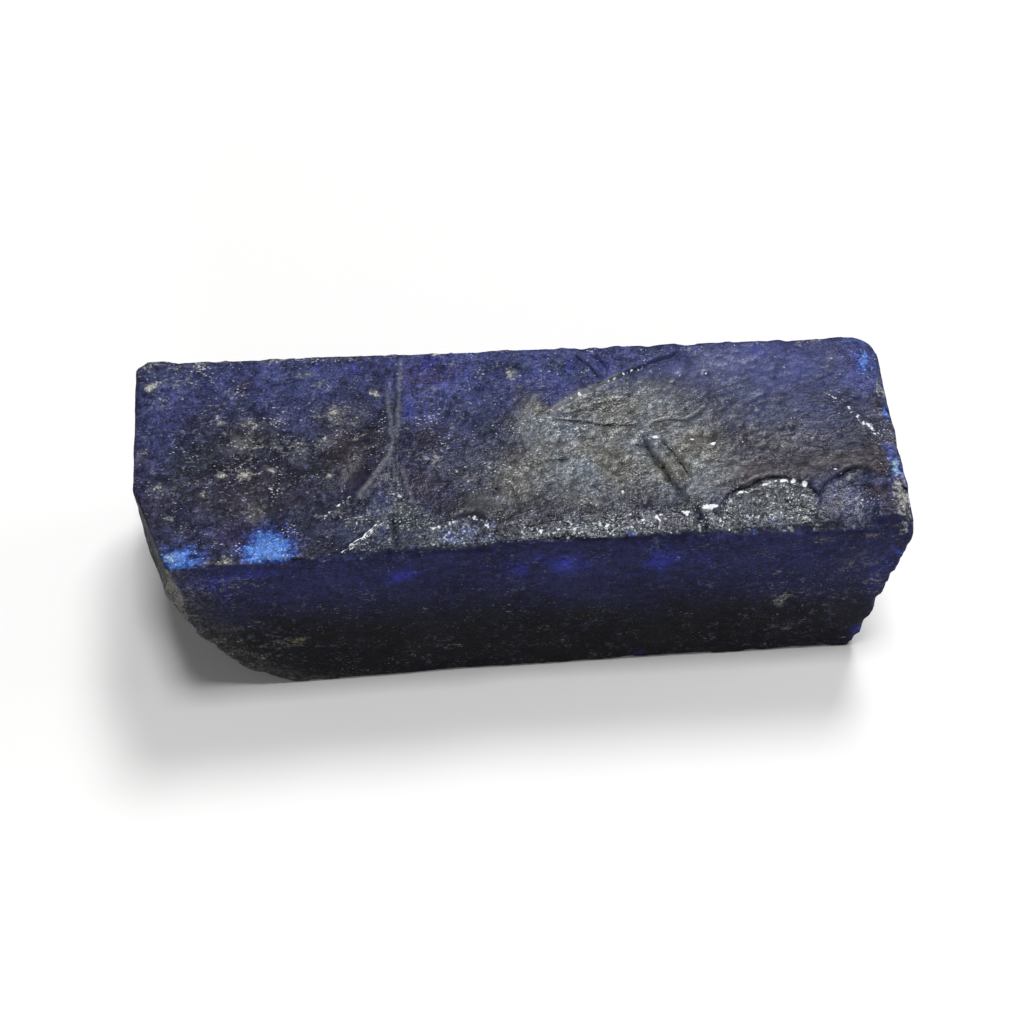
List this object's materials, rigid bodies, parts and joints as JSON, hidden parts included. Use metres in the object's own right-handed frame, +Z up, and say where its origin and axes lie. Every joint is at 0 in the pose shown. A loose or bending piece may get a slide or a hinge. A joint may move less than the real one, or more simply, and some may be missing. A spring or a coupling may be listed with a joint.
{
  "type": "rough sapphire",
  "caption": "Uncut dark blue sapphire sawn to a rough bar, with a broken corner, flake scars and chipped edges; rests flat on its sawn underside.",
  "frame": {"origin": "under the middle of the bar's box, on the flat underside it rests on", "axes": "+X along the bar towards its sloping end, -Y out of the front face, +Z up"},
  "size_m": [0.0544, 0.0188, 0.0158],
  "materials": {
    "sapphire": "dark blue to black corundum, dull where sawn, waxy to glassy with sparkling grains where broken"
  },
  "bodies": {
    "root": {"sapphire": "sapphire"}
  },
  "joints": []
}
